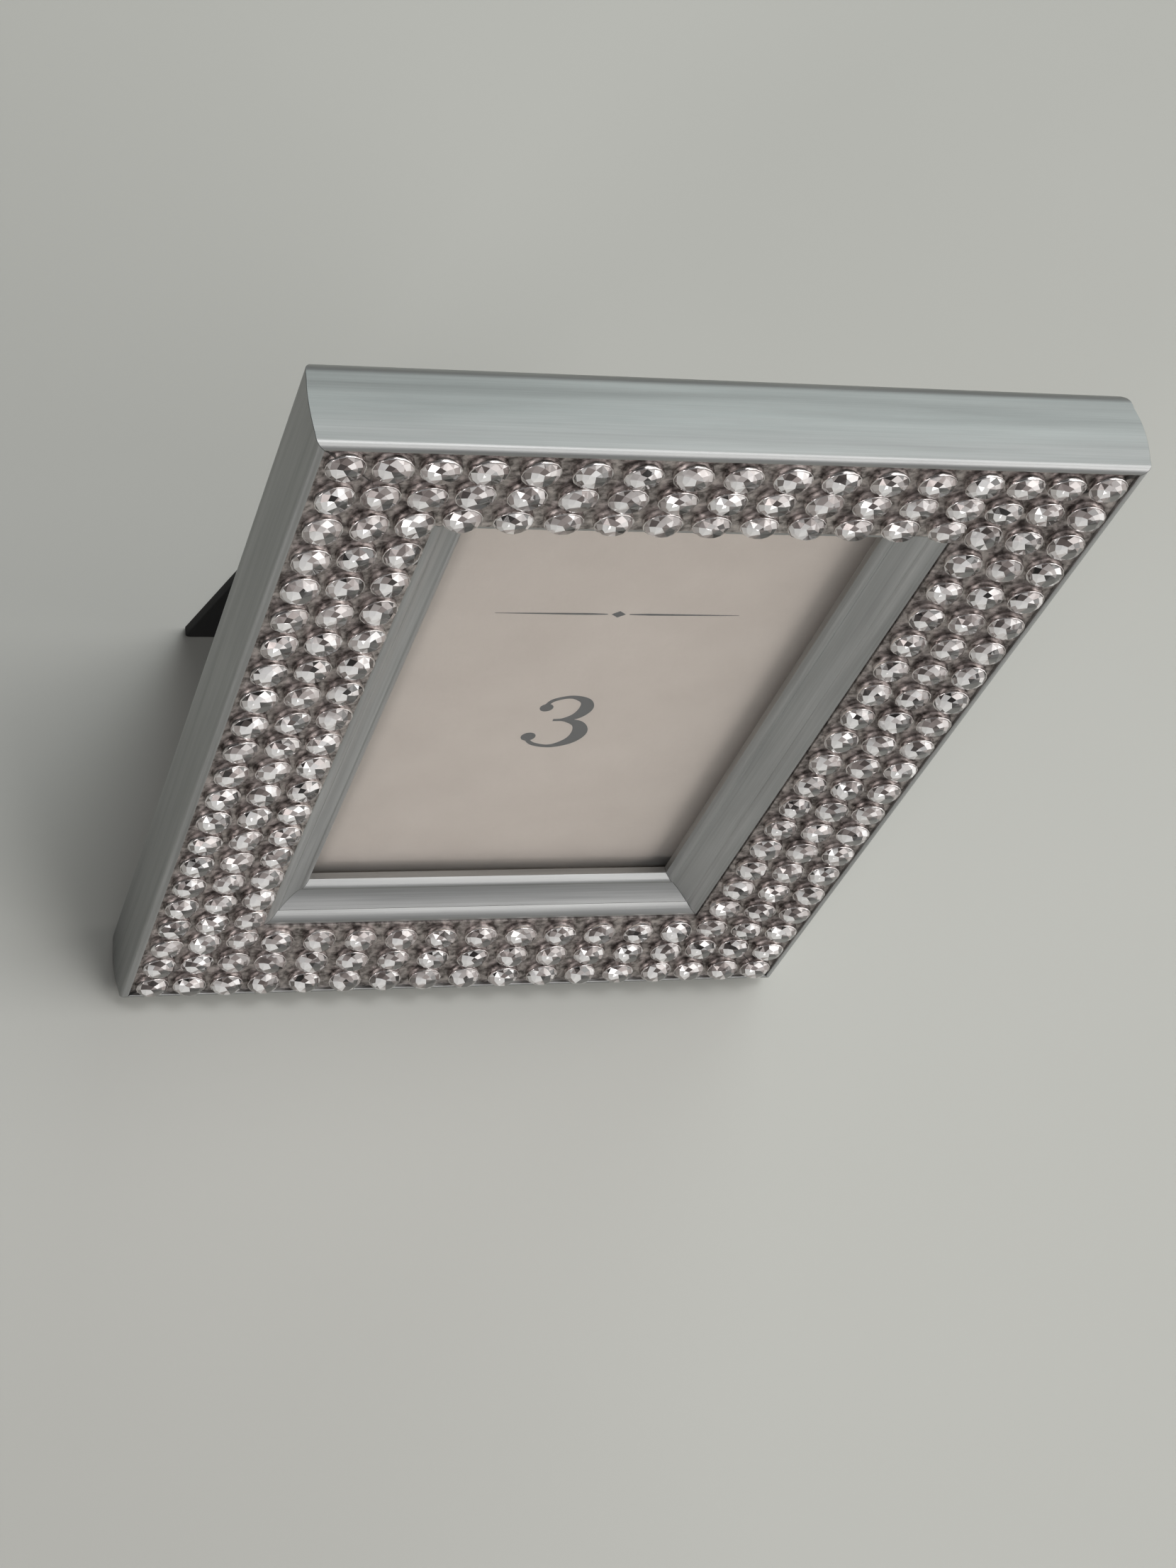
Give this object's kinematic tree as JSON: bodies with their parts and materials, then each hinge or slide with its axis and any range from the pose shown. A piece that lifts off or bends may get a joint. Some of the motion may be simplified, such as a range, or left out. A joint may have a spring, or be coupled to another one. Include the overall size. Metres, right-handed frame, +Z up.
{
  "type": "table number frame",
  "caption": "Small portrait table frame with mitred silver rails, a sloped band of set round stones, a card behind a pane, turn buttons and a folding easel strut.",
  "frame": {"origin": "middle of the footprint on the table", "axes": "+X to the right as the card is read, +Y to the back where the strut stands, +Z up"},
  "size_m": [0.0808, 0.0454, 0.1049],
  "materials": {
    "silver": "brushed along the rail, silver",
    "rhinestone": "clear faceted acrylic stones with a mirrored back on a silver strip",
    "pane": "clear",
    "card": "matte card",
    "board": "matte black",
    "strut": "matte black",
    "steel": "plain steel",
    "zinc": "zinc plated"
  },
  "bodies": {
    "frame": {"top_rail": "silver", "bottom_rail": "silver", "left_rail": "silver", "right_rail": "silver", "corner_plate_tl": "zinc", "corner_plate_tr": "zinc", "corner_plate_bl": "zinc", "corner_plate_br": "zinc", "stone_strip_left": "rhinestone", "stone_strip_right": "rhinestone", "stone_strip_top": "rhinestone", "stone_strip_bottom": "rhinestone", "glass_pane": "pane", "number_card": "card", "back_board": "board", "hinge_rail_leaf": "steel", "hinge_pin": "steel", "rail_rivet_1": "steel", "rail_rivet_2": "steel", "rail_rivet_3": "steel", "pivot_screw_1": "steel", "pivot_screw_2": "steel", "pivot_screw_3": "steel", "pivot_screw_4": "steel"},
    "strut": {"easel_strut": "strut", "hinge_strut_leaf": "steel", "strut_rivet_1": "steel", "strut_rivet_2": "steel", "strut_rivet_3": "steel"},
    "turn_button_1": {"turn_button_1": "zinc"},
    "turn_button_2": {"turn_button_2": "zinc"},
    "turn_button_3": {"turn_button_3": "zinc"},
    "turn_button_4": {"turn_button_4": "zinc"}
  },
  "joints": [
    {"name": "strut_fold", "type": "hinge", "parent": "frame", "child": "strut", "pos_m": [0, 0.01585, 0.09035], "axis": [1, 0, 0], "range_deg": [-19.9, 0]},
    {"name": "turn_button_1_swivel", "type": "hinge", "parent": "frame", "child": "turn_button_1", "pos_m": [-0.02935, 0.00931, 0.07268], "axis": [0, 0.9588, -0.284], "continuous": true},
    {"name": "turn_button_2_swivel", "type": "hinge", "parent": "frame", "child": "turn_button_2", "pos_m": [0.02935, 0.00931, 0.07268], "axis": [0, 0.9588, -0.284], "continuous": true},
    {"name": "turn_button_3_swivel", "type": "hinge", "parent": "frame", "child": "turn_button_3", "pos_m": [-0.02935, -0.00367, 0.02886], "axis": [0, 0.9588, -0.284], "continuous": true},
    {"name": "turn_button_4_swivel", "type": "hinge", "parent": "frame", "child": "turn_button_4", "pos_m": [0.02935, -0.00367, 0.02886], "axis": [0, 0.9588, -0.284], "continuous": true}
  ]
}
